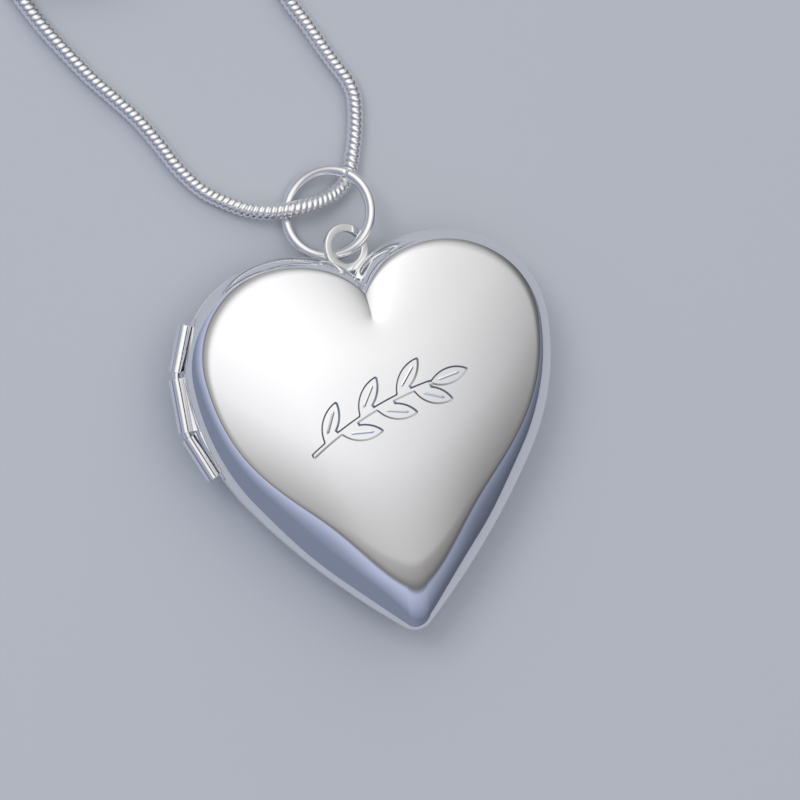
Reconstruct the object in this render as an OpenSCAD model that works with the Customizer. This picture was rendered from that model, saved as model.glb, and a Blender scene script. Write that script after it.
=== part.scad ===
// Puffed heart locket on a snake chain, lying on its back with the cover closed.
// X runs to the right and Y up the heart, Z is up from the surface that it lies on.

/* [Heart] */
// Width of the heart across both lobes
heart_w = 28; // [24:0.5:34]
// Height of the heart from the lobes' tops to the tip
heart_h = 28.8; // [25:0.2:35]
// Depth of one half, from the seam to the crown of its dome
half_t = 3.8; // [3.4:0.1:4.6]
// Thickness of the stamped sheet
sheet_t = 0.45; // [0.35:0.05:0.5]
// Height of the upright flange at the seam
flange_h = 0.35; // [0.2:0.05:0.5]
// Height of the rounded edge above the flange
edge_h = 1.35; // [1.1:0.05:1.5]
// Width of the rounded edge round the lobes
edge_w = 1.5; // [1.3:0.1:1.8]
// Width that the rounded edge gains towards the tip
tip_edge_w = 2.4; // [1:0.2:3]

/* [Hinge] */
// Outer diameter of the rolled knuckles
knuckle_d = 1.1; // [1.0:0.05:1.2]
// Diameter of the hinge pin
pin_d = 0.54; // [0.45:0.01:0.56]
// Length of the middle knuckle
mid_knuckle_l = 4; // [3.6:0.1:4.2]
// Length of the upper and lower knuckles
end_knuckle_l = 3.5; // [3:0.1:3.6]
// Bend of the pin on each side of the middle knuckle
pin_bend = 22; // [18:1:24]

/* [Suspension] */
// Outer diameter of the jump ring
ring_d = 7.2; // [7:0.1:7.4]
// Wire diameter of the jump ring
ring_wire = 0.8; // [0.7:0.05:0.85]
// Outer diameter of the flat bail loop
bail_d = 3.64; // [3.5:0.02:3.8]
// Hole diameter of the flat bail loop
bail_hole_d = 2.3; // [2.2:0.05:2.4]
// Thickness of the flat bail loop
bail_t = 0.45; // [0.35:0.05:0.5]

/* [Chain] */
// Diameter of the snake chain
chain_d = 1.2; // [1:0.05:1.3]
// Diameter of the end caps
cap_d = 1.8; // [1.7:0.1:2]
// Length of the end caps
cap_l = 3.6; // [3:0.1:4]

/* [Engraving] */
// Length of the engraved sprig
sprig_l = 13; // [10:0.5:14]
// Slant of the sprig from the heart's width
sprig_turn = 17; // [0:1:30]
// Depth of the engraving
sprig_depth = 0.1; // [0.05:0.01:0.15]

/* [Hidden] */
$fn = 48;
eps = 0.01;

// Heart outline: five tangent arcs on each side, drawn at full height and then scaled in Y.
seam_gap = 0.06;
lobe_r = 0.3 * heart_w;
lobe_c = [0.2 * heart_w, 3.55];
cleft_r = 6;
cleft_a = 110;
side_r = 19.5;
side_a = -32.8;
flank_r = 60;
tip_r = 1.4;
cleft_c = lobe_c + (lobe_r - cleft_r) * [cos(cleft_a), sin(cleft_a)];
side_c = lobe_c - [side_r - lobe_r, 0];
flank_c = side_c - (flank_r - side_r) * [cos(side_a), sin(side_a)];
tip_y = flank_c[1] - sqrt(pow(flank_r - tip_r, 2) - pow(flank_c[0], 2));
tip_a = atan2(tip_y - flank_c[1], -flank_c[0]);
drawn_h = lobe_c[1] + lobe_r - tip_y + tip_r;
ky = heart_h / drawn_h;

function arc(c, r, a0, a1, n) =
    [for (i = [0:n - 1]) let (a = a0 + (a1 - a0) * i / n) c + r * [cos(a), sin(a)]];

cleft_start = acos(-cleft_c[0] / cleft_r);
drawn_half = concat(
    arc(cleft_c, cleft_r, cleft_start, cleft_a, 6),
    arc(lobe_c, lobe_r, cleft_a, 0, 17),
    arc(side_c, side_r, 0, side_a, 8),
    arc(flank_c, flank_r, side_a, tip_a, 10),
    arc([0, tip_y], tip_r, tip_a, -90, 5),
    [[0, tip_y - tip_r]]
);
half_pts = [for (p = drawn_half) [p[0], p[1] * ky]];
last = len(half_pts) - 1;
cleft_y = half_pts[0][1];

function unit(v) = v / norm(v);
function along(i) = unit(half_pts[min(i + 1, last)] - half_pts[max(i - 1, 0)]);
function outward(i) = i == last ? [0, -1] : [-along(i)[1], along(i)[0]];
function mirror_x(p) = [-p[0], p[1]];

// The right half of the outline moved inwards by d, with the cleft's corner kept on the axis.
function inset_half(d) = concat(
    d > 0 ? [[0, cleft_y - d]] : [half_pts[0]],
    [for (i = [1:last]) let (p = half_pts[i] - d * outward(i)) [max(p[0], 0.001 * (last - i)), p[1]]]
);
function inset_outline(d) =
    let (h = inset_half(d))
    concat(h, [for (i = [len(h) - 2:-1:1]) mirror_x(h[i])]);

// Dome: rings from the outline to the crown. Each ring's reach from the crown is a cosine series of its
// bearing from the cleft, with the corners of the cleft and the tip apart. The series loses its higher
// terms inwards, the cleft's corner stays sharp down to crease_end, and the tip's corner rounds off.
terms = 9;
soften = 0.07;
soften_p = 1.6;
corner_w = 20;
tip_bearing = 172;
crease_end = 0.66;
crease_fade = 70;
crease_p = 1.5;
tip_round = 3;
tip_fade = 60;
tip_fade_p = 1.2;
sharp_end = 0.85;
dome_p = 2.2;
edge_p = 1.7;
ring_spread = 2.2;
dome_rings = 15;

bearings = [for (p = half_pts) atan2(p[0], p[1])];
reaches = [for (p = half_pts) norm(p)];
corner_slope = (reaches[1] - reaches[0]) / (bearings[1] - bearings[0]);
before_tip = len([for (a = bearings) if (a < tip_bearing) a]);
tip_slope = (reaches[before_tip] - reaches[before_tip - 1])
    / (bearings[before_tip] - bearings[before_tip - 1]);
function cleft_corner(a, fade) = -corner_slope * corner_w * exp(-norm([a, fade]) / corner_w);
function tip_corner(a, fade) = tip_slope * corner_w * exp(-norm([180 - a, fade]) / corner_w);
function sum(v) = v * [for (x = v) 1];
function smooth_reach(i) = reaches[i] - cleft_corner(bearings[i], 0) - tip_corner(bearings[i], tip_round);
function part(i, k) = smooth_reach(i) * cos(k * bearings[i]);
function term(k) = (k == 0 ? 1 : 2) / 180 * sum([for (i = [0:last - 1])
    (bearings[i + 1] - bearings[i]) * (part(i, k) + part(i + 1, k)) / 2]);
series = [for (k = [0:terms]) term(k)];
function series_reach(a, fade) = sum([for (k = [0:terms]) series[k] * exp(-fade * k * k) * cos(k * a)]);
function level_reach(a, s) = series_reach(a, soften * pow(2 - 2 * s, soften_p))
    + cleft_corner(a, crease_fade * pow(max(0, 1 - s / crease_end), crease_p))
    + tip_corner(a, tip_round + tip_fade * pow(1 - s, tip_fade_p));

function round_edge(t) = pow(1 - pow(1 - min(t, 1), edge_p), 1 / edge_p);
function edge_width(a) = edge_w + tip_edge_w * pow((1 - cos(a)) / 2, 3);
function ease(t) = let (u = min(max(t, 0), 1)) u * u * (3 - 2 * u);

function dome_point(o, s, inset, edge, dome) =
    let (
        r = norm(o),
        a = atan2(abs(o[0]), o[1]),
        keep = ease((s - sharp_end) / (1 - sharp_end)),
        r_s = level_reach(a, s) - inset + keep * (r - level_reach(a, 1) + inset),
        z = flange_h + edge * round_edge((1 - s) * r / edge_width(a)) + dome * (1 - pow(s, dome_p))
    )
    [o[0] / r * r_s * s, o[1] / r * r_s * s, z];

module dome_solid(inset, foot, edge, dome) {
    outline = inset_outline(inset);
    n = len(outline);
    rings = concat(
        [[for (o = outline) [o[0], o[1], foot]]],
        [for (k = [0:dome_rings - 1]) [for (o = outline)
            dome_point(o, 1 - pow(k / dome_rings, ring_spread), inset, edge, dome)]]
    );
    m = len(rings);
    points = concat([for (r = rings) each r], [[0, 0, foot], [0, 0, flange_h + edge + dome]]);
    faces = concat(
        [for (k = [0:m - 2]) for (i = [0:n - 1]) let (j = (i + 1) % n) each
            [[k * n + i, k * n + j, (k + 1) * n + j], [k * n + i, (k + 1) * n + j, (k + 1) * n + i]]],
        [for (i = [0:n - 1]) [i, m * n, (i + 1) % n]],
        [for (i = [0:n - 1]) [(m - 1) * n + i, (m - 1) * n + (i + 1) % n, m * n + 1]]
    );
    polyhedron(points, faces);
}

dome_h = half_t - flange_h - edge_h;
edge_drop = 0.3;
dome_drop = 0.15;
module outer_dome() dome_solid(0, 0, edge_h, dome_h);
module inner_dome() dome_solid(sheet_t, -1, edge_h - edge_drop, dome_h - dome_drop);

// Hinge: a bent pin, its middle stretch parallel to Y.
hinge_out = 0.45;
hinge_x = -heart_w / 2 - hinge_out;
hinge_y = 2;
knuckle_gap = 0.15;
bend_y = mid_knuckle_l / 2 + knuckle_gap;
end_start = 0.25;
recess_r = 1;
recess_end_r = 2.25;
recess_l = 3.8;
recess_clear = 0.05;
pin_clear = 0.03;
bore_r = pin_d / 2 + pin_clear;
leaf_t = 0.45;
leaf_clear = 0.04;
leaf_reach = 2.5;
pin_stand = 0.15;
pin_reach = end_start + end_knuckle_l + pin_stand;
bend_l = 0.3;
pin_half = [
    for (d = [pin_reach, bend_l]) [d * sin(pin_bend), bend_y + d * cos(pin_bend), 0],
    [0.1 * bend_l, bend_y, 0],
    [0, bend_y - bend_l, 0],
];
pin_route = concat(
    pin_half,
    [for (i = [len(pin_half) - 1:-1:0]) [pin_half[i][0], -pin_half[i][1], 0]]
);

module along_y(l, r0, r1) rotate([-90, 0, 0]) cylinder(h = l, r1 = r0, r2 = r1);

module hinge_recess(grow) translate([hinge_x, hinge_y, -seam_gap / 2]) {
    translate([0, -bend_y - eps, 0]) along_y(2 * bend_y + 2 * eps, recess_r + grow, recess_r + grow);
    for (side = [0, 1]) mirror([0, side, 0]) translate([0, bend_y, 0])
        along_y(recess_l + grow, recess_r + grow, recess_end_r + grow);
}

// One half with its seam at z = 0 and its dome upwards; the hinge recess keeps its own wall.
module half_shell() difference() {
    outer_dome();
    hinge_recess(0);
    difference() {
        inner_dome();
        hinge_recess(sheet_t);
    }
}

module on_back() translate([0, 0, half_t]) mirror([0, 0, 1]) children();
module on_front() translate([0, 0, half_t + seam_gap]) children();

module heart_plate(inset, z0, z1) translate([0, 0, z0])
    linear_extrude(z1 - z0) polygon(inset_outline(inset));
module clear_of_hinge(inset, z0, z1) difference() {
    heart_plate(inset, z0, z1);
    hinge_recess(sheet_t + recess_clear);
}

// Inner stack of each half, as insets from the outline and depths from the seam.
frame_inset = 0.85;
frame_border = 1.7;
frame_z = [0.05, 0.35];
window_z = [0.36, 0.54];
photo_z = [0.55, 0.65];
seat_z = [0.66, 0.86];
rim_inset = [0.53, 0.75];
rim_stand = 0.5;
rim_foot = [0.05, 0.3];
rim_left = -7;

module photo_frame() difference() {
    clear_of_hinge(frame_inset, frame_z[0], frame_z[1]);
    heart_plate(frame_inset + frame_border, frame_z[0] - 1, frame_z[1] + 1);
}
module window_pane() clear_of_hinge(frame_inset, window_z[0], window_z[1]);
module photo_sheet() clear_of_hinge(frame_inset, photo_z[0], photo_z[1]);
module seat_plate() intersection() {
    clear_of_hinge(sheet_t, seat_z[0], seat_z[1]);
    inner_dome();
}

// Sprig: a curved stem with seven almond leaves, drawn along X about its own middle.
stem_r = 22;
stem_w = 0.32;
stem_rise = 0.45;
stem_cut = 0.78;
leaf_l = 3.1;
leaf_w = 1.15;
leaf_turn = 34;
leaf_gap = 0.25;
end_leaf = 0.26;
leaf_r = (leaf_l * leaf_l + leaf_w * leaf_w) / (4 * leaf_w);
function stem_at(x) = [x, sqrt(stem_r * stem_r - x * x) - stem_r + stem_rise];
function stem_slope(x) = -asin(x / stem_r);
leaf_roots = [for (i = [0:2]) [-0.42 + 0.24 * i, -0.32 + 0.24 * i] * sprig_l];

module leaf() translate([leaf_l / 2, 0]) intersection_for(side = [-1, 1])
    translate([0, side * (leaf_r - leaf_w / 2)]) circle(leaf_r, $fn = 96);
module leaf_on_stem(x, turn) translate(stem_at(x)) rotate(stem_slope(x) + turn)
    translate([leaf_gap, 0]) leaf();
module stem() intersection() {
    translate([0, stem_rise - stem_r]) difference() {
        circle(stem_r + stem_w / 2, $fn = 180);
        circle(stem_r - stem_w / 2, $fn = 180);
    }
    translate([-sprig_l / 2, -leaf_l]) square([sprig_l * stem_cut, 2 * leaf_l]);
}
module sprig() rotate(sprig_turn) {
    stem();
    for (r = leaf_roots) {
        leaf_on_stem(r[0], leaf_turn);
        leaf_on_stem(r[1], -leaf_turn);
    }
    leaf_on_stem(sprig_l * end_leaf, 0);
}
sprig_at = [-0.2, -0.9];
sprig_z = 2;

// Bail and jump ring: each a flat ring about its own normal.
bail_c = [0, 10.85, 3.1];
bail_n = [0.246, 0.1, 0.964];
ring_c = [-0.56, 13.54, 2.03];
ring_n = [-0.44, 0.24, 0.866];
ring_cut = 262;
ring_slit = 1;
module facing(n) rotate([0, acos(n[2] / norm(n)), atan2(n[1], n[0])]) children();

// Chain: the route from the tag's cap through the jump ring to the coil, and from the coil to the
// clasp's cap.
chain_sides = 8;
pin_sides = 16;
lie = chain_d / 2 + 0.02;
cap_z = cap_d / 2;
coil_c = [-14.5, 42.5];
coil_turns = 9.25;
coil_out_r = 9.2;
coil_in_r = coil_out_r - coil_turns / 2 * chain_d;
coil_z = [lie, lie + chain_d];
tag_route = [
    [-1, 32.6, cap_z], [-0.9, 31.5, cap_z], [-0.7, 30.5, 0.78], [-0.2, 29.2, lie], [0.7, 27.5, lie],
    [1.5, 25.8, lie], [2.3, 24.2, lie], [3, 22.9, lie], [3.3, 21.7, lie], [3.2, 20.4, lie],
    [2.9, 18.9, lie], [2.5, 17.6, lie], [2.2, 16.7, lie], [1.8, 15.9, lie], [1.2, 15.2, 0.65],
    [0.3, 14.7, 0.85], [-0.8, 14.4, 1.2], [-2, 14.3, 1.5], [-3.3, 14.3, 1.62], [-4.7, 14.4, 1.35],
    [-6.1, 14.8, 0.9], [-7.7, 15.7, 0.65], [-9.3, 16.9, lie], [-10.7, 18.7, lie],
    [-11.8, 20.7, lie], [-13, 22.7, lie], [-14.4, 24.5, lie], [-16, 26.5, lie], [-17.5, 28.7, lie],
    [-18.7, 30.6, lie], [-19.8, 32.7, lie], [-21, 35.1, lie], [-22.2, 37.6, lie], [-23.1, 40.1, lie],
    [-23.7, 42.5, lie],
];
clasp_route = [
    [-14.5, 51.7, coil_z[1]], [-12.4, 51.6, 1.7], [-10.2, 51.3, 1.15], [-8, 50.8, 0.7], [-5.8, 50, lie],
    [-3.8, 48.9, 0.7], [-2.5, 48, cap_z], [-1.7, 47.4, cap_z],
];

function tangent(route, i) = unit(route[min(i + 1, len(route) - 1)] - route[max(i - 1, 0)]);
module tube(route, r, sides) {
    n = len(route);
    points = [for (i = [0:n - 1])
        let (t = tangent(route, i), side = unit(cross([0, 0, 1], t)), top = cross(t, side))
        for (k = [0:sides - 1])
            route[i] + r * (cos(360 * k / sides) * side + sin(360 * k / sides) * top)];
    faces = concat(
        [[for (k = [0:sides - 1]) k]],
        [for (i = [0:n - 2]) for (k = [0:sides - 1]) let (j = (k + 1) % sides) each
            let (a = i * sides + k, b = i * sides + j) [[a, b + sides, b], [a, a + sides, b + sides]]],
        [[for (k = [sides - 1:-1:0]) (n - 1) * sides + k]]
    );
    polyhedron(points, faces);
}

// End caps: a barrel on the chain and an upright loop beyond it, along +X from the chain's end.
loop_r = 0.7;
loop_wire = 0.5;
cap_mouth = 0.6;
cap_taper = 0.5;
cap_nose_r = 0.3 * cap_d;
cap_clear = 0.05;
loop_out = 0.1;
loop_x = cap_l - cap_mouth + loop_r + loop_out;
module torus(r, wire) rotate_extrude($fn = 64) translate([r, 0]) circle(wire / 2, $fn = 24);
module along_x(l, r0, r1) rotate([0, 90, 0]) cylinder(h = l, r1 = r0, r2 = r1);
module end_cap() {
    difference() {
        translate([-cap_mouth, 0, 0]) {
            along_x(cap_l - cap_taper, cap_d / 2, cap_d / 2);
            translate([cap_l - cap_taper, 0, 0]) along_x(cap_taper, cap_d / 2, cap_nose_r);
        }
        translate([-2 * cap_mouth, 0, 0])
            along_x(2 * cap_mouth, chain_d / 2 + cap_clear, chain_d / 2 + cap_clear);
    }
    translate([loop_x, 0, 0]) rotate([90, 0, 0]) torus(loop_r, loop_wire);
}
function heading(from, to) = atan2(to[1] - from[1], to[0] - from[0]);
tag_heading = heading(tag_route[1], tag_route[0]);
clasp_last = len(clasp_route) - 1;
clasp_heading = heading(clasp_route[clasp_last - 1], clasp_route[clasp_last]);
module at_tag_end() translate(tag_route[0]) rotate(tag_heading) children();
module at_clasp_end() translate(clasp_route[clasp_last]) rotate(clasp_heading) children();

// Tag: a flat teardrop with a small hole for the cap's loop and a larger one for the clasp.
tag_t = 0.5;
tag_droop = 5.5;
tag_eye_r = 0.55;
tag_hole_r = 1.1;
tag_l = 4.4;
tag_bridge = 0.5;
tag_rim = 0.9;
eye_x = tag_eye_r + tag_bridge / 2 - loop_wire - loop_out;
module tag_plate() difference() {
    linear_extrude(tag_t, center = true) hull() {
        circle(tag_eye_r + tag_bridge);
        translate([tag_l, 0]) circle(tag_hole_r + tag_rim);
    }
    cylinder(h = 2 * tag_t, r = tag_eye_r, center = true);
    translate([tag_l, 0, 0]) cylinder(h = 2 * tag_t, r = tag_hole_r, center = true);
}

// Clasp: a claw with a slot for its lever, drawn along +X from the eye at its tail.
claw_t = cap_d;
eye_t = 0.5;
claw_r = 2.5;
claw_x = 6.8;
claw_open_r = 1.35;
mouth_x = 4.9;
mouth_size = [2.6, 3.3];
tail_r = 1.3;
tail_x = 2.6;
slot_t = 0.9;
slot_l = 3;
slot_floor = -0.15;
slot_size = [7, 4];
slot_drop = 3;
lever_t = 0.8;
rivet_at = [3.6, 0];
rivet_r = 0.4;
rivet_clear = 0.03;
rivet_head = 0.05;
hub_r = 0.85;
elbow_r = 0.5;
nose_r = 0.45;
spur_root_r = 0.55;
spur_r = 0.38;
lever_reach = 4.6;
lever_elbow = [4.9, 1.25];
lever_tip = [7.2, 1.85];
lever_spur = [3.3, -1.9];
spring_x = 2.05;
spring_at = [2.15, 0.6, 0];
spring_size = [0.2, 0.8, 0.6];
module claw_blank() hull() {
    translate([claw_x, 0]) circle(claw_r);
    translate([tail_x, 0]) circle(tail_r);
}
module claw_mouth() {
    translate([claw_x, 0]) circle(claw_open_r);
    translate([mouth_x, 0]) square(mouth_size);
}
module lever_slot() {
    intersection() {
        translate(rivet_at) circle(lever_reach);
        translate([spring_x, slot_floor]) square(slot_size);
    }
    translate([spring_x, -slot_drop]) square([slot_l, slot_size[1]]);
}
module lever_arm(from, r0, to, r1) hull() {
    translate(from) circle(r0, $fn = 32);
    translate(to) circle(r1, $fn = 32);
}
module lever_shape() {
    lever_arm(rivet_at, hub_r, lever_elbow, elbow_r);
    lever_arm(lever_elbow, elbow_r, lever_tip, nose_r);
    lever_arm(rivet_at, spur_root_r, lever_spur, spur_r);
}

module snake_chain() color("silver") {
    tube(tag_route, chain_d / 2, chain_sides);
    tube(clasp_route, chain_d / 2, chain_sides);
}
module chain_coil() color("silver") translate([coil_c[0], coil_c[1], coil_z[0] - chain_d / 2])
    rotate_extrude($fn = 96) translate([coil_in_r - chain_d / 2, 0])
        square([coil_out_r - coil_in_r + chain_d, coil_z[1] - coil_z[0] + chain_d]);
module tag_end_cap() color("silver") at_tag_end() end_cap();
module clasp_end_cap() color("silver") at_clasp_end() end_cap();
module end_tag() color("silver")
    at_tag_end() translate([loop_x + loop_r, 0, 0]) rotate([0, tag_droop, 0])
        translate([eye_x, 0, 0]) tag_plate();

module at_clasp() at_clasp_end() translate([loop_x + loop_r, 0, 0]) children();
module clasp_body() color("silver") at_clasp() difference() {
    union() {
        linear_extrude(claw_t, center = true) claw_blank();
        linear_extrude(eye_t, center = true) hull() {
            translate([eye_x, 0]) circle(tag_eye_r + tag_bridge);
            translate([tail_x, 0]) circle(tag_eye_r + tag_bridge);
        }
    }
    linear_extrude(2 * claw_t, center = true) claw_mouth();
    linear_extrude(slot_t, center = true) lever_slot();
    translate([rivet_at[0], rivet_at[1], 0]) cylinder(h = 2 * claw_t, r = rivet_r, center = true);
    translate([eye_x, 0, 0]) cylinder(h = 2 * claw_t, r = tag_eye_r, center = true);
}
module clasp_lever() color("silver") at_clasp() difference() {
    linear_extrude(lever_t, center = true) lever_shape();
    translate([rivet_at[0], rivet_at[1], 0])
        cylinder(h = 2 * claw_t, r = rivet_r + rivet_clear, center = true);
}
module clasp_spring() color("gray") at_clasp()
    translate(spring_at) cube(spring_size, center = true);
module clasp_rivet() color("silver") at_clasp()
    translate([rivet_at[0], rivet_at[1], 0])
        cylinder(h = claw_t + 2 * rivet_head, r = rivet_r, center = true);

module jump_ring() color("silver") translate(ring_c) facing(ring_n)
    rotate(ring_cut) rotate_extrude(angle = 360 - ring_slit, $fn = 96)
        translate([(ring_d - ring_wire) / 2, 0]) circle(ring_wire / 2);

module bail_loop() color("silver") difference() {
    translate(bail_c) facing(bail_n) difference() {
        cylinder(h = bail_t, d = bail_d, center = true);
        cylinder(h = 2 * bail_t, d = bail_hole_d, center = true);
    }
    on_back() outer_dome();
}

module back_shell() color("silver") on_back() half_shell();
module front_shell() color("silver") on_front() difference() {
    half_shell();
    difference() {
        translate([sprig_at[0], sprig_at[1], sprig_z]) linear_extrude(half_t) sprig();
        translate([0, 0, -sprig_depth]) outer_dome();
    }
}

module knuckle(l, leaf_z) difference() {
    union() {
        along_y(l, knuckle_d / 2, knuckle_d / 2);
        translate([0, 0, leaf_z]) cube([leaf_reach, l, leaf_t]);
    }
    translate([0, -eps, 0]) along_y(l + 2 * eps, bore_r, bore_r);
}
module at_hinge() translate([hinge_x, hinge_y, half_t + seam_gap / 2]) children();
module past_bend(side) mirror([0, side, 0]) translate([0, bend_y, 0]) rotate(-pin_bend) children();
module within_recess() intersection() {
    children();
    translate([0, 0, half_t + seam_gap]) hinge_recess(0);
}
module end_knuckle(side) within_recess() at_hinge() past_bend(side)
    translate([0, end_start, 0]) knuckle(end_knuckle_l, -leaf_t - leaf_clear);
module hinge_knuckle_top() color("silver") end_knuckle(0);
module hinge_knuckle_bottom() color("silver") end_knuckle(1);
module hinge_knuckle_middle() color("silver") within_recess() at_hinge()
    translate([0, -mid_knuckle_l / 2, 0]) knuckle(mid_knuckle_l, leaf_clear);
module hinge_pin() color("silver") at_hinge() tube(pin_route, pin_d / 2, pin_sides);

module closing_rim() color("silver") on_back() intersection() {
    difference() {
        union() {
            heart_plate(rim_inset[0], -rim_stand, rim_foot[1]);
            heart_plate(sheet_t, rim_foot[0], rim_foot[1]);
        }
        heart_plate(rim_inset[1], -1, 1);
    }
    translate([rim_left, -heart_h, -half_t]) cube([2 * heart_w, 2 * heart_h, 2 * half_t]);
}
module back_seat_plate() color("silver") on_back() seat_plate();
module back_photo() color("white") on_back() photo_sheet();
module back_window() color("lightblue") on_back() window_pane();
module back_photo_frame() color("silver") on_back() photo_frame();
module front_seat_plate() color("silver") on_front() seat_plate();
module front_photo() color("white") on_front() photo_sheet();
module front_window() color("lightblue") on_front() window_pane();
module front_photo_frame() color("silver") on_front() photo_frame();

snake_chain();
chain_coil();
tag_end_cap();
clasp_end_cap();
end_tag();
clasp_body();
clasp_lever();
clasp_spring();
clasp_rivet();
jump_ring();
back_shell();
bail_loop();
hinge_knuckle_top();
hinge_knuckle_bottom();
hinge_pin();
closing_rim();
back_seat_plate();
back_photo();
back_window();
back_photo_frame();
front_shell();
hinge_knuckle_middle();
front_seat_plate();
front_photo();
front_window();
front_photo_frame();
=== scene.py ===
"""A puffed heart locket lying on its back with its cover closed, on a snake chain with a claw clasp.

Lengths are in millimetres until an object is made, and match the CAD model's own dimensions.
"""

import math

import bmesh
import bpy
from mathutils import Matrix, Vector
from mathutils.geometry import delaunay_2d_cdt


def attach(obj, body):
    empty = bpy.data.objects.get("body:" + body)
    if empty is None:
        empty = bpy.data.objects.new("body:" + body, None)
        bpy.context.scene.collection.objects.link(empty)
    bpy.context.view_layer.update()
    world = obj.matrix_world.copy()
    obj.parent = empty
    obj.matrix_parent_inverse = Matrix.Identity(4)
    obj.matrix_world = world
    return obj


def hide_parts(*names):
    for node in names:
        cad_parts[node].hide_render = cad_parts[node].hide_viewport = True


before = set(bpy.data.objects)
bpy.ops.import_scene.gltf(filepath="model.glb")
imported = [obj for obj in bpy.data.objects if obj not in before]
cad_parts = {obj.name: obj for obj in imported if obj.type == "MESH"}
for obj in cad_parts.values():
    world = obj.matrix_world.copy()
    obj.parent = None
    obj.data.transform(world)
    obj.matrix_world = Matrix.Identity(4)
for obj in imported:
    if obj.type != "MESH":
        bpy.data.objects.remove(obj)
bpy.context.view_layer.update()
scene = bpy.context.scene
MM = 0.001

# Heart
HEART_W = 28
HEART_H = 28.8
HALF_T = 3.8
SHEET_T = 0.45
FLANGE_H = 0.35
EDGE_H = 1.35
EDGE_W = 1.5
TIP_EDGE_W = 2.4
SEAM_GAP = 0.06
EDGE_DROP = 0.3
DOME_DROP = 0.15
DOME_P = 2.2
EDGE_P = 1.7
TERMS = 9
SOFTEN = 0.07
SOFTEN_P = 1.6
CORNER_W = math.radians(20)
TIP_BEARING = math.radians(172)
CREASE_END = 0.66
CREASE_FADE = math.radians(70)
CREASE_P = 1.5
TIP_ROUND = math.radians(3)
TIP_FADE = math.radians(60)
TIP_FADE_P = 1.2
SHARP_END = 0.85

# Hinge
HINGE_OUT = 0.45
HINGE = Vector((-HEART_W / 2 - HINGE_OUT, 2, HALF_T + SEAM_GAP / 2))
KNUCKLE_R = 0.55
PIN_R = 0.27
MID_KNUCKLE_L = 4
END_KNUCKLE_L = 3.5
KNUCKLE_GAP = 0.15
BEND_Y = MID_KNUCKLE_L / 2 + KNUCKLE_GAP
END_START = 0.25
PIN_BEND = math.radians(22)
RECESS_R = 1
RECESS_END_R = 2.25
RECESS_L = 3.8

# Suspension and chain
RING_C = Vector((-0.56, 13.54, 2.03))
RING_N = Vector((-0.44, 0.24, 0.866)).normalized()
RING_R = 3.2
RING_WIRE_R = 0.4
RING_CUT = math.radians(262)
BAIL_C = Vector((0, 10.85, 3.1))
BAIL_N = Vector((0.246, 0.1, 0.964)).normalized()
BAIL_R = 1.82
BAIL_HOLE_R = 1.15
BAIL_T = 0.45
CHAIN_D = 1.2
LIE = CHAIN_D / 2 + 0.02
CAP_Z = 0.9

# Camera: the direction back from its target, its right hand, and its target, which is a point on the
# seam's plane moved right and up in the view
CAMERA_BACK = Vector((-0.2669, 0.0971, 0.9588)).normalized()
CAMERA_RIGHT = Vector((0.9435, -0.1766, 0.2805))
CAMERA_TARGET = Vector((0, -3, HALF_T))
TARGET_RIGHT = 1.3255
TARGET_UP = 2.443
CAMERA_AWAY = 280
CAMERA_LENS = 171.7

# Stage, in metres
FLOOR_Z = -0.0001
FLOOR_REACH = 3
FLOOR_COLOUR = (0.58, 0.61, 0.67, 1)
KEY_AT = (-0.35, 0.35, 0.6)
KEY_SIZE = 0.3
KEY_POWER = 1.2

# Engraving
SPRIG_AT = Vector((-0.2, -0.9))
SPRIG_TURN = math.radians(17)
SPRIG_L = 13
SPRIG_DEPTH = 0.1
RIM_OUT = 0.1
RIM_LIFT = 0.03
FLOOR_IN = 0.08
LINE_STEP = 0.06
RIB_AT = 0.9
RIB_STEP = 0.15
RIB_STEPS = 12
RIB_SUNK = 0.55
RIB_HALF_W = 0.11


# ---------------------------------------------------------------- camera

def make_camera():
    back = CAMERA_BACK
    right = (CAMERA_RIGHT - back * CAMERA_RIGHT.dot(back)).normalized()
    up = back.cross(right)
    target = CAMERA_TARGET + TARGET_RIGHT * right + TARGET_UP * up
    data = bpy.data.cameras.new("camera")
    data.lens = CAMERA_LENS
    data.sensor_width = 36
    data.clip_start = 0.01
    data.clip_end = 20
    camera = bpy.data.objects.new("camera", data)
    scene.collection.objects.link(camera)
    turn = Matrix((right, up, back)).transposed().to_4x4()
    camera.matrix_world = Matrix.Translation((target + CAMERA_AWAY * back) * MM) @ turn
    scene.camera = camera


make_camera()


# ---------------------------------------------------------------- materials

def node_material(name):
    material = bpy.data.materials.new(name)
    material.use_nodes = True
    tree = material.node_tree
    return material, tree, tree.nodes["Principled BSDF"]


def add_noise(tree, scale, detail, stretch=(1, 1, 1)):
    place = tree.nodes.new("ShaderNodeTexCoord")
    mapping = tree.nodes.new("ShaderNodeMapping")
    mapping.inputs["Scale"].default_value = stretch
    noise = tree.nodes.new("ShaderNodeTexNoise")
    noise.inputs["Scale"].default_value = scale
    noise.inputs["Detail"].default_value = detail
    tree.links.new(place.outputs["Object"], mapping.inputs["Vector"])
    tree.links.new(mapping.outputs["Vector"], noise.inputs["Vector"])
    return noise.outputs["Fac"]


def map_to(tree, value, low, high, socket):
    ranged = tree.nodes.new("ShaderNodeMapRange")
    ranged.inputs["From Min"].default_value = 0.3
    ranged.inputs["From Max"].default_value = 0.7
    ranged.inputs["To Min"].default_value = low
    ranged.inputs["To Max"].default_value = high
    tree.links.new(value, ranged.inputs["Value"])
    tree.links.new(ranged.outputs["Result"], socket)


def add_bump(tree, shader, value, distance, strength):
    bump = tree.nodes.new("ShaderNodeBump")
    bump.inputs["Distance"].default_value = distance
    bump.inputs["Strength"].default_value = strength
    tree.links.new(value, bump.inputs["Height"])
    tree.links.new(bump.outputs["Normal"], shader.inputs["Normal"])


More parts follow.
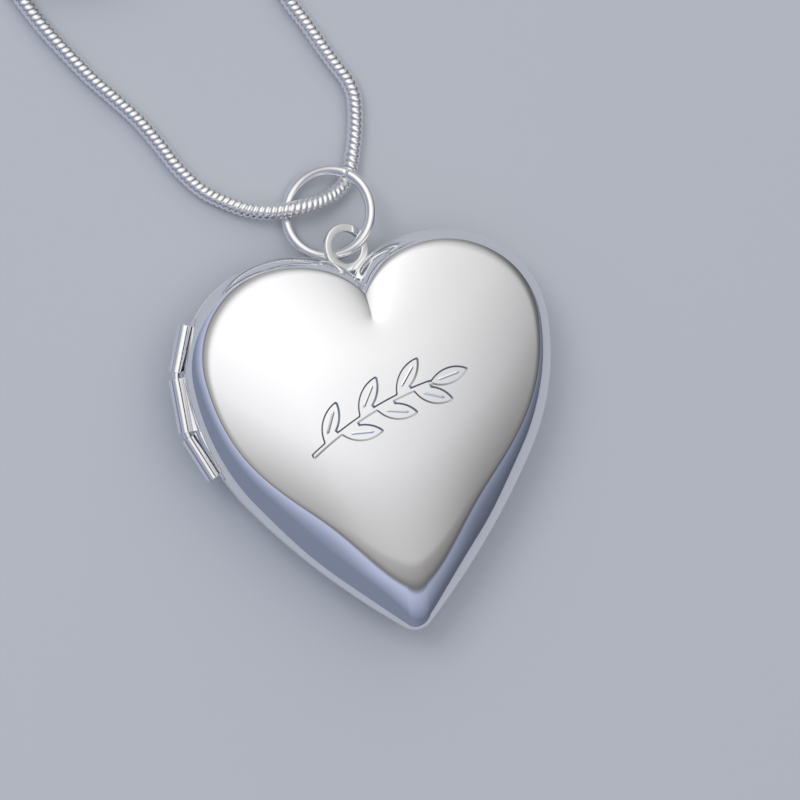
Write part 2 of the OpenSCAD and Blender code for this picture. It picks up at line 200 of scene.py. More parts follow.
def silver(name, colour, rough, wave):
    """Polished silver: uneven polish, hairline scratches and the stamped sheet's slight waviness."""
    material, tree, shader = node_material(name)
    shader.inputs["Base Color"].default_value = (*colour, 1)
    shader.inputs["Metallic"].default_value = 1
    map_to(tree, add_noise(tree, 260, 4), rough[0], rough[1], shader.inputs["Roughness"])
    hairs = add_noise(tree, 900, 3, (1, 7, 1))
    swell = add_noise(tree, 130, 1)
    mix = tree.nodes.new("ShaderNodeMath")
    mix.operation = "MULTIPLY_ADD"
    mix.inputs[1].default_value = 0.02
    tree.links.new(hairs, mix.inputs[0])
    tree.links.new(swell, mix.inputs[2])
    add_bump(tree, shader, mix.outputs[0], wave, 0.35)
    return material


def card_material():
    material, tree, shader = node_material("picture_card")
    map_to(tree, add_noise(tree, 2500, 5), 0.55, 0.75, shader.inputs["Roughness"])
    ramp = tree.nodes.new("ShaderNodeValToRGB")
    ramp.color_ramp.elements[0].color = (0.80, 0.78, 0.72, 1)
    ramp.color_ramp.elements[1].color = (0.90, 0.89, 0.85, 1)
    tree.links.new(add_noise(tree, 700, 6), ramp.inputs["Fac"])
    tree.links.new(ramp.outputs["Color"], shader.inputs["Base Color"])
    return material


def film_material():
    material, tree, shader = node_material("clear_film")
    shader.inputs["Base Color"].default_value = (0.97, 0.98, 1, 1)
    shader.inputs["Alpha"].default_value = 0.15
    map_to(tree, add_noise(tree, 400, 2), 0.01, 0.05, shader.inputs["Roughness"])
    return material


SHELL_SILVER = silver("shell_silver", (0.93, 0.93, 0.94), (0.04, 0.075), 0.00002)
# Darker silver for the engraving's groove walls: the darkness is painted shade, and the higher roughness is
# the cut's own.
PAINTED_SHADE_GROOVE_SILVER = silver("painted_shade_groove_silver", (0.5, 0.5, 0.52), (0.16, 0.26), 0.00001)
WIRE_SILVER = silver("wire_silver", (0.92, 0.92, 0.93), (0.07, 0.12), 0.00001)
CHAIN_SILVER = silver("chain_silver", (0.93, 0.93, 0.94), (0.12, 0.2), 0.00001)
INNER_SILVER = silver("inner_silver", (0.88, 0.88, 0.9), (0.12, 0.2), 0.00002)
STEEL = silver("spring_steel", (0.6, 0.61, 0.63), (0.2, 0.3), 0.00001)
CARD = card_material()
FILM = film_material()


# ---------------------------------------------------------------- mesh helpers

def make_object(name, points, faces, material, sharp=35):
    mesh = bpy.data.meshes.new(name)
    mesh.from_pydata([tuple(c * MM for c in p) for p in points], [], faces)
    mesh.validate()
    mesh.materials.append(material)
    obj = bpy.data.objects.new(name, mesh)
    scene.collection.objects.link(obj)
    smooth(mesh, sharp)
    return obj


def smooth(mesh, sharp):
    mesh.shade_smooth()
    mesh.set_sharp_from_angle(angle=math.radians(sharp))


def loft(rings, close_ends=True):
    """Points and faces of a closed skin over rings with the same number of points."""
    n = len(rings[0])
    points = [p for ring in rings for p in ring]
    faces = []
    for k in range(len(rings) - 1):
        for i in range(n):
            j = (i + 1) % n
            faces.append((k * n + i, k * n + j, (k + 1) * n + j, (k + 1) * n + i))
    if close_ends:
        faces.append(tuple(range(n - 1, -1, -1)))
        faces.append(tuple(range((len(rings) - 1) * n, len(rings) * n)))
    return points, faces


def facing(normal):
    tilt = math.acos(normal.z)
    azimuth = math.atan2(normal.y, normal.x)
    return Matrix.Rotation(azimuth, 3, "Z") @ Matrix.Rotation(tilt, 3, "Y")


def apply_boolean(obj, cutter):
    modifier = obj.modifiers.new("cut", "BOOLEAN")
    modifier.operation = "DIFFERENCE"
    modifier.solver = "EXACT"
    modifier.material_mode = "TRANSFER"
    modifier.object = cutter
    result = bpy.data.meshes.new_from_object(obj.evaluated_get(bpy.context.evaluated_depsgraph_get()))
    obj.modifiers.clear()
    obj.data = result


def remove(obj):
    bpy.data.objects.remove(obj)


def add_bevel(obj, width):
    bevel = obj.modifiers.new("soft_edges", "BEVEL")
    bevel.width = width * MM
    bevel.segments = 2
    bevel.limit_method = "ANGLE"
    bevel.angle_limit = math.radians(40)
    bevel.harden_normals = True


def fix_normals(obj):
    bm = bmesh.new()
    bm.from_mesh(obj.data)
    bmesh.ops.recalc_face_normals(bm, faces=bm.faces)
    bm.to_mesh(obj.data)
    bm.free()
    smooth(obj.data, 35)


def resample(line, step):
    """Points a fixed distance apart along the line."""
    lengths = [0]
    for a, b in zip(line, line[1:]):
        lengths.append(lengths[-1] + (b - a).length)
    count = round(lengths[-1] / step)
    points, i = [], 0
    for k in range(count + 1):
        at = lengths[-1] * k / count
        while i < len(line) - 2 and lengths[i + 1] < at:
            i += 1
        points.append(line[i].lerp(line[i + 1], (at - lengths[i]) / (lengths[i + 1] - lengths[i])))
    return points, lengths[-1]


# ---------------------------------------------------------------- heart outline and dome

def arc(centre, radius, start, end, count):
    """Points along an arc, its last one left to the next arc."""
    steps = [math.radians(start + (end - start) * i / count) for i in range(count)]
    return [Vector((centre[0] + radius * math.cos(a), centre[1] + radius * math.sin(a))) for a in steps]


LOBE_R = 0.3 * HEART_W
LOBE_C = Vector((0.2 * HEART_W, 3.55))
CLEFT_R, CLEFT_A = 6, 110
SIDE_R, SIDE_A = 19.5, -32.8
FLANK_R, TIP_R = 60, 1.4


def polar(radius, degrees):
    return Vector((math.cos(math.radians(degrees)), math.sin(math.radians(degrees)))) * radius


CLEFT_C = LOBE_C + polar(LOBE_R - CLEFT_R, CLEFT_A)
SIDE_C = LOBE_C - Vector((SIDE_R - LOBE_R, 0))
FLANK_C = SIDE_C - polar(FLANK_R - SIDE_R, SIDE_A)
TIP_Y = FLANK_C.y - math.sqrt((FLANK_R - TIP_R) ** 2 - FLANK_C.x**2)
TIP_A = math.degrees(math.atan2(TIP_Y - FLANK_C.y, -FLANK_C.x))
KY = HEART_H / (LOBE_C.y + LOBE_R - TIP_Y + TIP_R)


def half_outline(fine):
    cleft_start = math.degrees(math.acos(-CLEFT_C.x / CLEFT_R))
    drawn = (
        arc(CLEFT_C, CLEFT_R, cleft_start, CLEFT_A, 6 * fine)
        + arc(LOBE_C, LOBE_R, CLEFT_A, 0, 17 * fine)
        + arc(SIDE_C, SIDE_R, 0, SIDE_A, 8 * fine)
        + arc(FLANK_C, FLANK_R, SIDE_A, TIP_A, 10 * fine)
        + arc((0, TIP_Y), TIP_R, TIP_A, -90, 5 * fine)
        + [Vector((0, TIP_Y - TIP_R))]
    )
    return [Vector((p.x, p.y * KY)) for p in drawn]


def inset_outline(half, distance):
    """The whole outline moved inwards, clockwise from the cleft."""
    last = len(half) - 1
    moved = []
    for i, p in enumerate(half):
        if i == 0:
            moved.append(Vector((0, p.y - distance)))
            continue
        along = (half[min(i + 1, last)] - half[i - 1]).normalized()
        out = Vector((0, -1)) if i == last else Vector((-along.y, along.x))
        q = p - distance * out
        moved.append(Vector((max(q.x, 0.001 * (last - i)), q.y)))
    return moved + [Vector((-p.x, p.y)) for p in reversed(moved[1:-1])]


BASE_HALF = half_outline(1)
BEARINGS = [math.atan2(p.x, p.y) for p in BASE_HALF]
REACHES = [p.length for p in BASE_HALF]
CORNER_SLOPE = (REACHES[1] - REACHES[0]) / (BEARINGS[1] - BEARINGS[0])
BEFORE_TIP = sum(1 for a in BEARINGS if a < TIP_BEARING)
TIP_RISE = REACHES[BEFORE_TIP] - REACHES[BEFORE_TIP - 1]
TIP_SLOPE = TIP_RISE / (BEARINGS[BEFORE_TIP] - BEARINGS[BEFORE_TIP - 1])


def cleft_corner(a, fade):
    """The cleft's share of the reach from the crown. Its corner fades as fade grows."""
    return -CORNER_SLOPE * CORNER_W * math.exp(-math.hypot(a, fade) / CORNER_W)


def tip_corner(a, fade):
    return TIP_SLOPE * CORNER_W * math.exp(-math.hypot(math.pi - a, fade) / CORNER_W)


def term(k):
    """The k-th cosine term of the rest of the reach, against the bearing from the cleft."""
    rest = [r - cleft_corner(a, 0) - tip_corner(a, TIP_ROUND) for a, r in zip(BEARINGS, REACHES)]
    values = [r * math.cos(k * a) for a, r in zip(BEARINGS, rest)]
    total = 0
    for a0, a1, v0, v1 in zip(BEARINGS, BEARINGS[1:], values, values[1:]):
        total += (a1 - a0) * (v0 + v1) / 2
    return total * (1 if k == 0 else 2) / math.pi


SERIES = [term(k) for k in range(TERMS + 1)]


def level_reach(a, s):
    """Reach of the dome's level line s. Its tip and its cleft fade towards the crown."""
    fade = SOFTEN * (2 - 2 * s) ** SOFTEN_P
    smooth_part = sum(c * math.exp(-fade * k * k) * math.cos(k * a) for k, c in enumerate(SERIES))
    cleft = cleft_corner(a, CREASE_FADE * max(0, 1 - s / CREASE_END) ** CREASE_P)
    return smooth_part + cleft + tip_corner(a, TIP_ROUND + TIP_FADE * (1 - s) ** TIP_FADE_P)


def ease(t):
    u = min(max(t, 0), 1)
    return u * u * (3 - 2 * u)


def round_edge(t):
    return (1 - (1 - min(t, 1)) ** EDGE_P) ** (1 / EDGE_P)


def edge_width(a):
    return EDGE_W + TIP_EDGE_W * ((1 - math.cos(a)) / 2) ** 3


def dome_point(o, s, inset, edge, dome):
    r = o.length
    a = math.atan2(abs(o.x), o.y)
    keep = ease((s - SHARP_END) / (1 - SHARP_END))
    reach = level_reach(a, s) - inset + keep * (r - level_reach(a, 1) + inset)
    z = FLANGE_H + edge * round_edge((1 - s) * r / edge_width(a)) + dome * (1 - s**DOME_P)
    return Vector((o.x / r * reach * s, o.y / r * reach * s, z))


DOME_H = HALF_T - FLANGE_H - EDGE_H


def dome_solid(name, fine, rings, spread, inset, foot, edge, dome):
    """A dome on the outline. foot lists (inset, height) of the rings below the flange's top."""
    half = half_outline(fine)
    outline = inset_outline(half, inset)
    loops = []
    for more, z in foot:
        loops.append([(p.x, p.y, z) for p in inset_outline(half, inset + more)])
    for k in range(rings):
        s = 1 - (k / rings) ** spread
        loops.append([dome_point(o, s, inset, edge, dome) for o in outline])
    n = len(outline)
    points, faces = loft(loops, close_ends=False)
    base, crown = len(points), len(points) + 1
    points += [(0, 0, foot[0][1]), (0, 0, FLANGE_H + edge + dome)]
    top = (len(loops) - 1) * n
    for i in range(n):
        j = (i + 1) % n
        faces.append((j, i, base))
        faces.append((top + i, top + j, crown))
    # Clockwise outline: turn every face round so that it looks outwards.
    return make_object(name, points, [tuple(reversed(f)) for f in faces], SHELL_SILVER)


def recess_solid(grow):
    """The hinge's recess about its axis: a cylinder with a cone at each end."""
    end_y = BEND_Y + RECESS_L + grow
    rings = []
    for y in (-end_y, -BEND_Y, BEND_Y, end_y):
        r = (RECESS_END_R if abs(y) == end_y else RECESS_R) + grow
        ring = []
        for k in range(96):
            a = 2 * math.pi * k / 96
            ring.append((HINGE.x + r * math.sin(a), HINGE.y + y, -SEAM_GAP / 2 + r * math.cos(a)))
        rings.append(ring)
    points, faces = loft(rings)
    return make_object("recess", points, faces, SHELL_SILVER)


# ---------------------------------------------------------------- engraving

STEM_R = 22
STEM_W = 0.32
STEM_RISE = 0.45
LEAF_L = 3.1
LEAF_W = 1.15
LEAF_TURN = math.radians(34)
LEAF_R = (LEAF_L**2 + LEAF_W**2) / (4 * LEAF_W)
LEAF_GAP = 0.25
LEAF_PITCH = 0.24
END_LEAF = 0.26
STEM_END = 0.28


def stem_at(x):
    return Vector((x, math.sqrt(STEM_R**2 - x * x) - STEM_R + STEM_RISE))


def leaf_places():
    """Each leaf's root and heading in the sprig's own axes."""
    places = []
    for i in range(3):
        for start, side in ((-0.42, 1), (-0.32, -1)):
            x = (start + LEAF_PITCH * i) * SPRIG_L
            places.append((stem_at(x), -math.asin(x / STEM_R) + side * LEAF_TURN))
    x = END_LEAF * SPRIG_L
    places.append((stem_at(x), -math.asin(x / STEM_R)))
    return places


LEAVES = leaf_places()


def to_sprig(x, y):
    return Matrix.Rotation(-SPRIG_TURN, 2) @ (Vector((x, y)) - SPRIG_AT)


def from_sprig(p):
    return SPRIG_AT + Matrix.Rotation(SPRIG_TURN, 2) @ p


def sprig_distance(x, y):
    """Distance to the sprig's edge, negative inside."""
    p = to_sprig(x, y)
    to_arc = abs((p - Vector((0, STEM_RISE - STEM_R))).length - STEM_R) - STEM_W / 2
    best = max(to_arc, -SPRIG_L / 2 - p.x, p.x - SPRIG_L * STEM_END)
    for root, heading in LEAVES:
        q = Matrix.Rotation(-heading, 2) @ (p - root) - Vector((LEAF_GAP + LEAF_L / 2, 0))
        best = min(best, math.hypot(q.x, abs(q.y) + LEAF_R - LEAF_W / 2) - LEAF_R)
    return best


CELL = 0.05
GRID_X = (-6.9, 7.3)
GRID_Y = (-4.1, 3.9)


def distance_grid():
    """The sprig's distance on a grid of cells, column by column."""
    grid = []
    for i in range(round((GRID_X[1] - GRID_X[0]) / CELL) + 1):
        x = GRID_X[0] + CELL * i
        rows = round((GRID_Y[1] - GRID_Y[0]) / CELL) + 1
        grid.append([sprig_distance(x, GRID_Y[0] + CELL * j) for j in range(rows)])
    return grid


def contour(grid, level):
    """Closed lines on which the distance grid has the level."""
    links = {}

    def crossing(i, j, di, dj):
        a, b = grid[i][j] - level, grid[i + di][j + dj] - level
        t = a / (a - b)
        return Vector((GRID_X[0] + CELL * (i + t * di), GRID_Y[0] + CELL * (j + t * dj)))

    def corners(i, j):
        return ((i, j), (i + 1, j), (i + 1, j + 1), (i, j + 1))

    def side(i, j, k):
        """Key of a cell's side, shared with its neighbour."""
        return ((i, j, 1, 0), (i + 1, j, 0, 1), (i, j + 1, 1, 0), (i, j, 0, 1))[k]

    for i in range(len(grid) - 1):
        for j in range(len(grid[0]) - 1):
            inside = [grid[u][v] < level for u, v in corners(i, j)]
            if all(inside) or not any(inside):
                continue
            leave = [k for k in range(4) if inside[k] and not inside[(k + 1) % 4]]
            enter = [k for k in range(4) if not inside[k] and inside[(k + 1) % 4]]
            for k, m in zip(leave, enter):
                links[side(i, j, k)] = side(i, j, m)
    lines = []
    while links:
        start, key = next(iter(links.items()))
        line = [crossing(*start)]
        del links[start]
        while key != start:
            line.append(crossing(*key))
            key = links.pop(key)
        lines.append(line)
    return lines


def even(line, step):
    """A closed line resampled at an even step, rounded a little."""
    points, _ = resample(line + [line[0]], step)
    points = points[:-1]
    n = len(points)
    return [(points[i - 1] + 2 * points[i] + points[(i + 1) % n]) / 4 for i in range(n)]


def sprig_cutter():
    """The body cut from the cover: a sunken floor with sloping walls, which carry painted shade, and a
    raised midrib in each leaf.
    """
    grid = distance_grid()
    places, heights, edges = [], [], []

    def add_line(line, height, closed=True):
        base = len(places)
        places.extend(line)
        heights.extend(height(k) if callable(height) else height for k in range(len(line)))
        count = len(line)
        edges.extend((base + k, base + (k + 1) % count) for k in range(count if closed else count - 1))

    for line in contour(grid, RIM_OUT):
        add_line(even(line, LINE_STEP), RIM_LIFT)
    for line in contour(grid, -FLOOR_IN):
        if len(line) > 12:
            add_line(even(line, LINE_STEP), -SPRIG_DEPTH)
    for root, heading in LEAVES:
        turn = Matrix.Rotation(heading, 2)
        along = [RIB_AT + RIB_STEP * k for k in range(RIB_STEPS + 1)]
        rib = [from_sprig(root + turn @ Vector((x, 0))) for x in along]
        add_line(rib, lambda k: -SPRIG_DEPTH * (RIB_SUNK if 0 < k < RIB_STEPS else 1), closed=False)
        for y in (-RIB_HALF_W, RIB_HALF_W):
            foot = [from_sprig(root + turn @ Vector((x, y))) for x in along[1:-1]]
            add_line(foot, -SPRIG_DEPTH, closed=False)
    flat, _, triangles, sources, _, _ = delaunay_2d_cdt(places, edges, [], 0, 1e-5)
    height_of = [max(heights[k] for k in source) if source else -SPRIG_DEPTH for source in sources]
    kept = []
    for t in triangles:
        centre = sum((flat[k] for k in t), Vector((0, 0))) / 3
        if sprig_distance(centre.x, centre.y) < RIM_OUT:
            kept.append(t)
    lid = 0.6
    points = [(p.x, p.y, HALF_T + SEAM_GAP + dome_height(p.x, p.y) + h) for p, h in zip(flat, height_of)]
    points += [(p[0], p[1], p[2] + lid) for p in points]
    n = len(flat)
    faces = [tuple(t) for t in kept] + [tuple(k + n for k in reversed(t)) for t in kept]
    count = {}
    for t in kept:
        for a, b in zip(t, t[1:] + t[:1]):
            count[(a, b)] = 1
    for a, b in count:
        if (b, a) not in count:
            faces.append((b, a, a + n, b + n))
    cutter = make_object("cutter", points, faces, SHELL_SILVER)
    cutter.data.materials.append(PAINTED_SHADE_GROOVE_SILVER)
    # Faces that reach the raised rim are the groove walls. They take the darker silver, which is painted
    # shade.
    for t, face in zip(kept, cutter.data.polygons):
        face.material_index = int(any(height_of[k] == RIM_LIFT for k in t))
    fix_normals(cutter)
    return cutter


def dome_height(x, y):
    """Height of the outer dome over (x, y), inside its rounded edge."""
    a = math.atan2(abs(x), y)
    rho = math.hypot(x, y)
    s = 0.4
    for _ in range(12):
        s = rho / level_reach(a, s)
    return FLANGE_H + EDGE_H + DOME_H * (1 - s**DOME_P)


# ---------------------------------------------------------------- shells

def half_shell(name):
    outer_foot = [(0.06, 0), (0.018, 0.018), (0, 0.06)]
    shell = dome_solid(name, 3, 76, 1.5, 0, outer_foot, EDGE_H, DOME_H)
    cavity = dome_solid("cavity", 1, 20, 2.2, SHEET_T, [(0, -1)], EDGE_H - EDGE_DROP, DOME_H - DOME_DROP)
    recess, wall = recess_solid(0), recess_solid(SHEET_T)
    apply_boolean(cavity, wall)
    apply_boolean(shell, recess)
    apply_boolean(shell, cavity)
    for tool in (recess, wall, cavity):
        remove(tool)
    return shell


def place_half(shell, front):
    shift = HALF_T + SEAM_GAP if front else HALF_T
    flip = 1 if front else -1
    mesh = shell.data
    for v in mesh.vertices:
        v.co.z = shift * MM + flip * v.co.z
    if not front:
        mesh.flip_normals()
    smooth(mesh, 20)


def make_shells():
    front = half_shell("cover")
    back = bpy.data.objects.new("back", front.data.copy())
    scene.collection.objects.link(back)
    place_half(front, True)
    place_half(back, False)
    cutter = sprig_cutter()
    apply_boolean(front, cutter)
    remove(cutter)
    smooth(front.data, 20)
    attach(front, "cover")
    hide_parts("front_shell")
    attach(back, "back")
    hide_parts("back_shell")


make_shells()


# ---------------------------------------------------------------- hinge

SLIT_A = math.radians(82)
SLIT_W = 0.055
ROLL_T = 0.24
LEAF_LOW = -0.47
LEAF_TOP = -0.06
LEAF_ROOT = 0.45
END_LEAF_X = 1.1
MID_LEAF_X = 0.97
KNUCKLE_BEVEL = 0.045
PIN_STAND = 0.12


def arm(radius, turn):
    """A point on the roll: turn runs from -0.5 to 0.5, from one lip of the slit round to the other."""
    a = SLIT_A + math.pi + turn * (2 * math.pi - SLIT_W / radius)
    return Vector((radius * math.cos(a), radius * math.sin(a)))


def roll_section():
    """A sheet rolled round the pin, with the slit where its edges meet."""
    outer, inner = [], []
    inner_r = KNUCKLE_R - ROLL_T
    for i in range(61):
        turn = i / 60 - 0.5
        outer.append(arm(KNUCKLE_R, turn))
        inner.append(arm(inner_r, turn))
    return outer + inner[::-1]


def hinge_point(p, along, side):
    """A point across the axis, placed along the hinge's middle (side 0) or past one of its bends."""
    if not side:
        return HINGE + Vector((p.x, along, p.y))
    q = Matrix.Rotation(-PIN_BEND, 3, "Z") @ Vector((p.x, along, p.y)) + Vector((0, BEND_Y, 0))
    return HINGE + Vector((q.x, side * q.y, q.z))


def make_knuckle(name, node, body, side, length, start, leaf):
    """A roll with its leaf, which is below the seam on the back and above it on the cover."""
    flip = -1 if body == "cover" else 1
    corners = ((LEAF_ROOT, LEAF_LOW), (leaf, LEAF_LOW), (leaf, LEAF_TOP), (LEAF_ROOT, LEAF_TOP))
    tab = [Vector((x, flip * z)) for x, z in corners]
    points, faces = [], []
    for section in (roll_section(), tab):
        ends = [[hinge_point(p, y, side) for p in section] for y in (start, start + length)]
        more, more_faces = loft(ends)
        faces += [tuple(i + len(points) for i in f) for f in more_faces]
        points += more
    obj = make_object(name, points, faces, WIRE_SILVER)
    fix_normals(obj)
    add_bevel(obj, KNUCKLE_BEVEL)
    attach(obj, body)
    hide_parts(node)


def frames_along(path):
    """A tangent, side and top for each point, turned as little as possible along the path."""
    tangents = []
    for i in range(len(path)):
        tangents.append((path[min(i + 1, len(path) - 1)] - path[max(i - 1, 0)]).normalized())
    side = tangents[0].orthogonal().normalized()
    frames = []
    for t in tangents:
        side = (side - t * side.dot(t)).normalized()
        frames.append((t, side, t.cross(side)))
    return frames


def sweep(path, radii, sides):
    rings = []
    for p, r, (t, side, top) in zip(path, radii, frames_along(path)):
        ring = []
        for k in range(sides):
            a = 2 * math.pi * k / sides
            ring.append(p + r * (math.cos(a) * side + math.sin(a) * top))
        rings.append(ring)
    return loft(rings)


def make_pin():
    reach = END_START + END_KNUCKLE_L + PIN_STAND
    bend = 0.5
    half = [Vector((0, y, 0)) for y in (0, 0.5, 1, BEND_Y - bend)]
    start = Vector((0, BEND_Y - bend, 0))
    corner = Vector((0, BEND_Y, 0))
    heading = Vector((math.sin(PIN_BEND), math.cos(PIN_BEND), 0))
    end = corner + bend * heading
    for i in range(1, 13):
        t = i / 12
        half.append(start.lerp(corner, t).lerp(corner.lerp(end, t), t))
    half += [corner + heading * d for d in (1.5, 2.5, reach - PIN_R)]
    radii = [PIN_R] * len(half)
    for i in range(1, 9):
        a = math.pi / 2 * i / 8
        half.append(corner + heading * (reach - PIN_R + PIN_R * math.sin(a)))
        radii.append(max(PIN_R * math.cos(a), 0.01))
    below = [Vector((p.x, -p.y, p.z)) for p in reversed(half[1:])]
    path = [HINGE + p for p in below + half]
    points, faces = sweep(path, radii[:0:-1] + radii, 32)
    obj = make_object("pin", points, faces, WIRE_SILVER)
    fix_normals(obj)
    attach(obj, "back")
    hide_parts("hinge_pin")


make_knuckle("knuckle_top", "hinge_knuckle_top", "back", 1, END_KNUCKLE_L, END_START, END_LEAF_X)
make_knuckle("knuckle_bottom", "hinge_knuckle_bottom", "back", -1, END_KNUCKLE_L, END_START, END_LEAF_X)
make_knuckle(
    "knuckle_middle", "hinge_knuckle_middle", "cover", 0, MID_KNUCKLE_L, -MID_KNUCKLE_L / 2, MID_LEAF_X)
make_pin()


# ---------------------------------------------------------------- bail and jump ring

def make_bail():
    corner = 0.16
    section = []
    for centre_r, centre_z, start in (
        (BAIL_R - corner, BAIL_T / 2 - corner, 0),
        (BAIL_HOLE_R + corner, BAIL_T / 2 - corner, 90),
        (BAIL_HOLE_R + corner, corner - BAIL_T / 2, 180),
        (BAIL_R - corner, corner - BAIL_T / 2, 270),
    ):
        for i in range(7):
            a = math.radians(start + 15 * i)
            section.append((centre_r + corner * math.cos(a), centre_z + corner * math.sin(a)))
    turn = facing(BAIL_N)
    rings = []
    for k in range(97):
        a = 2 * math.pi * k / 96
        rings.append([BAIL_C + turn @ Vector((r * math.cos(a), r * math.sin(a), z)) for r, z in section])
    points, faces = loft(rings, close_ends=False)
    obj = make_object("bail", points, faces, WIRE_SILVER, sharp=60)
    bm = bmesh.new()
    bm.from_mesh(obj.data)
    bmesh.ops.remove_doubles(bm, verts=bm.verts, dist=1e-7)
    bm.to_mesh(obj.data)
    bm.free()
    fix_normals(obj)
    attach(obj, "back")
    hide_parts("bail_loop")


def make_jump_ring():
    turn = facing(RING_N)
    cut = math.radians(0.5)
    first = RING_CUT + cut
    span = 2 * math.pi - 2 * cut
    path, radii = [], []
    for k in range(181):
        a = first + span * k / 180
        path.append(RING_C + turn @ Vector((RING_R * math.cos(a), RING_R * math.sin(a), 0)))
        radii.append(RING_WIRE_R - (0.05 if k in (0, 180) else 0))
    points, faces = sweep(path, radii, 36)
    obj = make_object("jump_ring_wire", points, faces, WIRE_SILVER, sharp=60)
    fix_normals(obj)
    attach(obj, "ring")
    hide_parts("jump_ring")


make_bail()
make_jump_ring()


# ---------------------------------------------------------------- chain

COIL_C = Vector((-14.5, 42.5, 0))
COIL_TURNS = 9.25
COIL_RISE = 0.7
COIL_OUT_R = 9.2
COIL_Z = (LIE, LIE + CHAIN_D)
TAG_ROUTE = [
    (-1, 32.6, CAP_Z), (-0.9, 31.5, CAP_Z), (-0.7, 30.5, 0.78), (-0.2, 29.2, LIE), (0.7, 27.5, LIE),
    (1.5, 25.8, LIE), (2.3, 24.2, LIE), (3, 22.9, LIE), (3.3, 21.7, LIE), (3.2, 20.4, LIE),
    (2.9, 18.9, LIE), (2.5, 17.6, LIE), (2.2, 16.7, LIE), (1.8, 15.9, LIE), (1.2, 15.2, 0.65),
    (0.3, 14.7, 0.85), (-0.8, 14.4, 1.2), (-2, 14.3, 1.5), (-3.3, 14.3, 1.62), (-4.7, 14.4, 1.35),
    (-6.1, 14.8, 0.9), (-7.7, 15.7, 0.65), (-9.3, 16.9, LIE), (-10.7, 18.7, LIE),
    (-11.8, 20.7, LIE), (-13, 22.7, LIE), (-14.4, 24.5, LIE), (-16, 26.5, LIE), (-17.5, 28.7, LIE),
    (-18.7, 30.6, LIE), (-19.8, 32.7, LIE), (-21, 35.1, LIE), (-22.2, 37.6, LIE), (-23.1, 40.1, LIE),
    (-23.7, 42.5, LIE),
]
CLASP_ROUTE = [
    (-14.5, 51.7, COIL_Z[1]), (-12.4, 51.6, 1.7), (-10.2, 51.3, 1.15), (-8, 50.8, 0.7), (-5.8, 50, LIE),
    (-3.8, 48.9, 0.7), (-2.5, 48, CAP_Z), (-1.7, 47.4, CAP_Z),
]


def coil_points():
    """Two layers: the turns wind inwards on the surface, rise, and wind outwards on top."""
    steps = round(COIL_TURNS * 24)
    points = []
    for i in range(1, steps):
        turn = COIL_TURNS * i / steps
        inwards = min(turn, COIL_TURNS - turn)
        r = COIL_OUT_R - CHAIN_D * inwards
        a = math.pi - 2 * math.pi * turn
        rise = ease((turn - COIL_TURNS / 2) / COIL_RISE + 0.5)
        points.append(COIL_C + Vector((r * math.cos(a), r * math.sin(a), COIL_Z[0] + rise * CHAIN_D)))
    return points


def spline(points, steps):
    """A smooth line through the points."""
    line = []
    for i in range(len(points) - 1):
        p0, p1 = points[max(i - 1, 0)], points[i]
        p2, p3 = points[i + 1], points[min(i + 2, len(points) - 1)]
        for k in range(steps):
            t = k / steps
            line.append(0.5 * (2 * p1 + (p2 - p0) * t + (2 * p0 - 5 * p1 + 4 * p2 - p3) * t * t
                               + (3 * p1 - p0 - 3 * p2 + p3) * t**3))
    return line + [points[-1]]


LINK_PITCH = 0.45
LINK_DEPTH = 0.11
LINK_P = 2.6
ZIGZAG = 0.6
FINE_STEP = LINK_PITCH / 8
FAR_STEP = 2 * FINE_STEP
SHOWN_X = -21


def link_radius(phase):
    """Radius of the chain at a phase along one link: a plump rib between two sharp grooves."""
    return CHAIN_D / 2 - LINK_DEPTH * abs(2 * (phase % 1) - 1) ** LINK_P


def chain_skin(path, step, sides, zigzag):
    """Ribbed links: each groove runs round the chain in a zigzag that slants across its top."""
    rings = []
    for i, p in enumerate(path):
        t = (path[min(i + 1, len(path) - 1)] - path[max(i - 1, 0)]).normalized()
        side = Vector((0, 0, 1)).cross(t).normalized()
        top = t.cross(side)
        ring = []
        for k in range(sides):
            a = 2 * math.pi * k / sides
            wave = zigzag * abs((4 * k / sides + 0.5) % 2 - 1)
            r = link_radius(i * step / LINK_PITCH + wave)
            ring.append(p + r * (math.cos(a) * side + math.sin(a) * top))
        rings.append(ring)
    return loft(rings)


def make_chain():
    route = [Vector(p) for p in TAG_ROUTE] + coil_points() + [Vector(p) for p in CLASP_ROUTE]
    line, length = resample(spline(route, 8), FINE_STEP)
    shown = next(i for i, p in enumerate(line) if p.x < SHOWN_X)
    near = line[: shown + 1]
    far = line[shown::2]
    points, faces = chain_skin(near, FINE_STEP, 24, ZIGZAG)
    more_points, more_faces = chain_skin(far, FAR_STEP, 12, 0)
    base = len(points)
    points += more_points
    faces += [tuple(i + base for i in f) for f in more_faces]
    obj = make_object("chain", points, faces, CHAIN_SILVER, sharp=80)
    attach(obj, "chain")
    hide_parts("snake_chain", "chain_coil")


make_chain()


# ---------------------------------------------------------------- CAD nodes that stay

def finish_node(name, material, bevel=0):
    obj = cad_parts[name]
    for s in obj.material_slots:
        s.link = "OBJECT"
        s.material = material
    if bevel:
        add_bevel(obj, bevel)


for name in ("tag_end_cap", "clasp_end_cap"):
    finish_node(name, WIRE_SILVER)
for name in ("end_tag", "clasp_body", "clasp_lever"):
    finish_node(name, WIRE_SILVER, 0.08)
finish_node("clasp_rivet", WIRE_SILVER)
finish_node("clasp_spring", STEEL)
finish_node("closing_rim", INNER_SILVER)
for half in ("back", "front"):
    finish_node(half + "_seat_plate", INNER_SILVER)
    finish_node(half + "_photo", CARD)
    finish_node(half + "_window", FILM)
    finish_node(half + "_photo_frame", SHELL_SILVER, 0.08)


# ---------------------------------------------------------------- stage, light

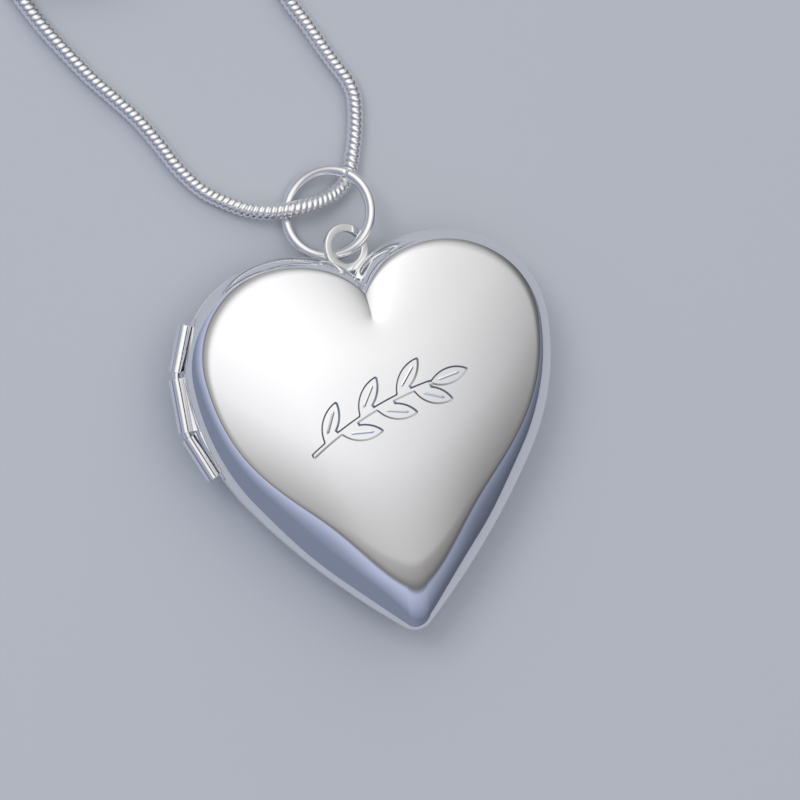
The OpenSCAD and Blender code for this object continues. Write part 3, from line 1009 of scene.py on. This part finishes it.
def make_floor():
    mesh = bpy.data.meshes.new("floor")
    corners = [(x * FLOOR_REACH, y * FLOOR_REACH, FLOOR_Z) for x, y in ((-1, -1), (1, -1), (1, 1), (-1, 1))]
    mesh.from_pydata(corners, [], [(0, 1, 2, 3)])
    floor = bpy.data.objects.new("floor", mesh)
    scene.collection.objects.link(floor)
    material, tree, shader = node_material("floor")
    shader.inputs["Base Color"].default_value = FLOOR_COLOUR
    shader.inputs["Roughness"].default_value = 0.7
    mesh.materials.append(material)


def make_key_light():
    """A soft light from the upper left, aimed at the origin and kept out of the reflections."""
    data = bpy.data.lights.new("key", "AREA")
    data.shape = "RECTANGLE"
    data.size = KEY_SIZE
    data.size_y = KEY_SIZE
    data.energy = KEY_POWER
    lamp = bpy.data.objects.new("key", data)
    lamp.location = KEY_AT
    lamp.rotation_euler = Vector(KEY_AT).to_track_quat("Z", "Y").to_euler()
    lamp.visible_glossy = False
    scene.collection.objects.link(lamp)


DIM_AT = 0.9
DIM_TO = 0.4
SKY_AXIS = (0.23, 0.43, 0.87)
SKY = (
    (0.00, (0.20, 0.23, 0.32)),
    (0.16, (0.32, 0.36, 0.50)),
    (0.345, (0.50, 0.55, 0.74)),
    (0.385, (0.17, 0.17, 0.18)),
    (0.45, (0.36, 0.35, 0.35)),
    (0.56, (0.46, 0.45, 0.45)),
    (0.74, (0.93, 0.93, 0.94)),
    (0.92, (1.16, 1.16, 1.16)),
)


def make_world():
    """A soft studio: white overhead, grey, then a dark line above a pale blue wall; dimmer on the right."""
    world = bpy.data.worlds.new("studio")
    scene.world = world
    world.use_nodes = True
    tree = world.node_tree
    place = tree.nodes.new("ShaderNodeTexCoord")
    split = tree.nodes.new("ShaderNodeSeparateXYZ")
    height = tree.nodes.new("ShaderNodeVectorMath")
    height.operation = "DOT_PRODUCT"
    height.inputs[1].default_value = SKY_AXIS
    ramp = tree.nodes.new("ShaderNodeValToRGB")
    stops = ramp.color_ramp.elements
    while len(stops) < len(SKY):
        stops.new(1)
    for stop, (position, colour) in zip(stops, SKY):
        stop.position = position
        stop.color = (*colour, 1)
    dim = tree.nodes.new("ShaderNodeMapRange")
    dim.inputs["From Min"].default_value = 0
    dim.inputs["From Max"].default_value = DIM_AT
    dim.inputs["To Min"].default_value = 1
    dim.inputs["To Max"].default_value = DIM_TO
    background = tree.nodes["Background"]
    tree.links.new(place.outputs["Generated"], split.inputs["Vector"])
    tree.links.new(place.outputs["Generated"], height.inputs[0])
    tree.links.new(height.outputs["Value"], ramp.inputs["Fac"])
    tree.links.new(split.outputs["X"], dim.inputs["Value"])
    tree.links.new(ramp.outputs["Color"], background.inputs["Color"])
    tree.links.new(dim.outputs["Result"], background.inputs["Strength"])


make_floor()
make_world()
make_key_light()
scene.view_settings.view_transform = "Standard"
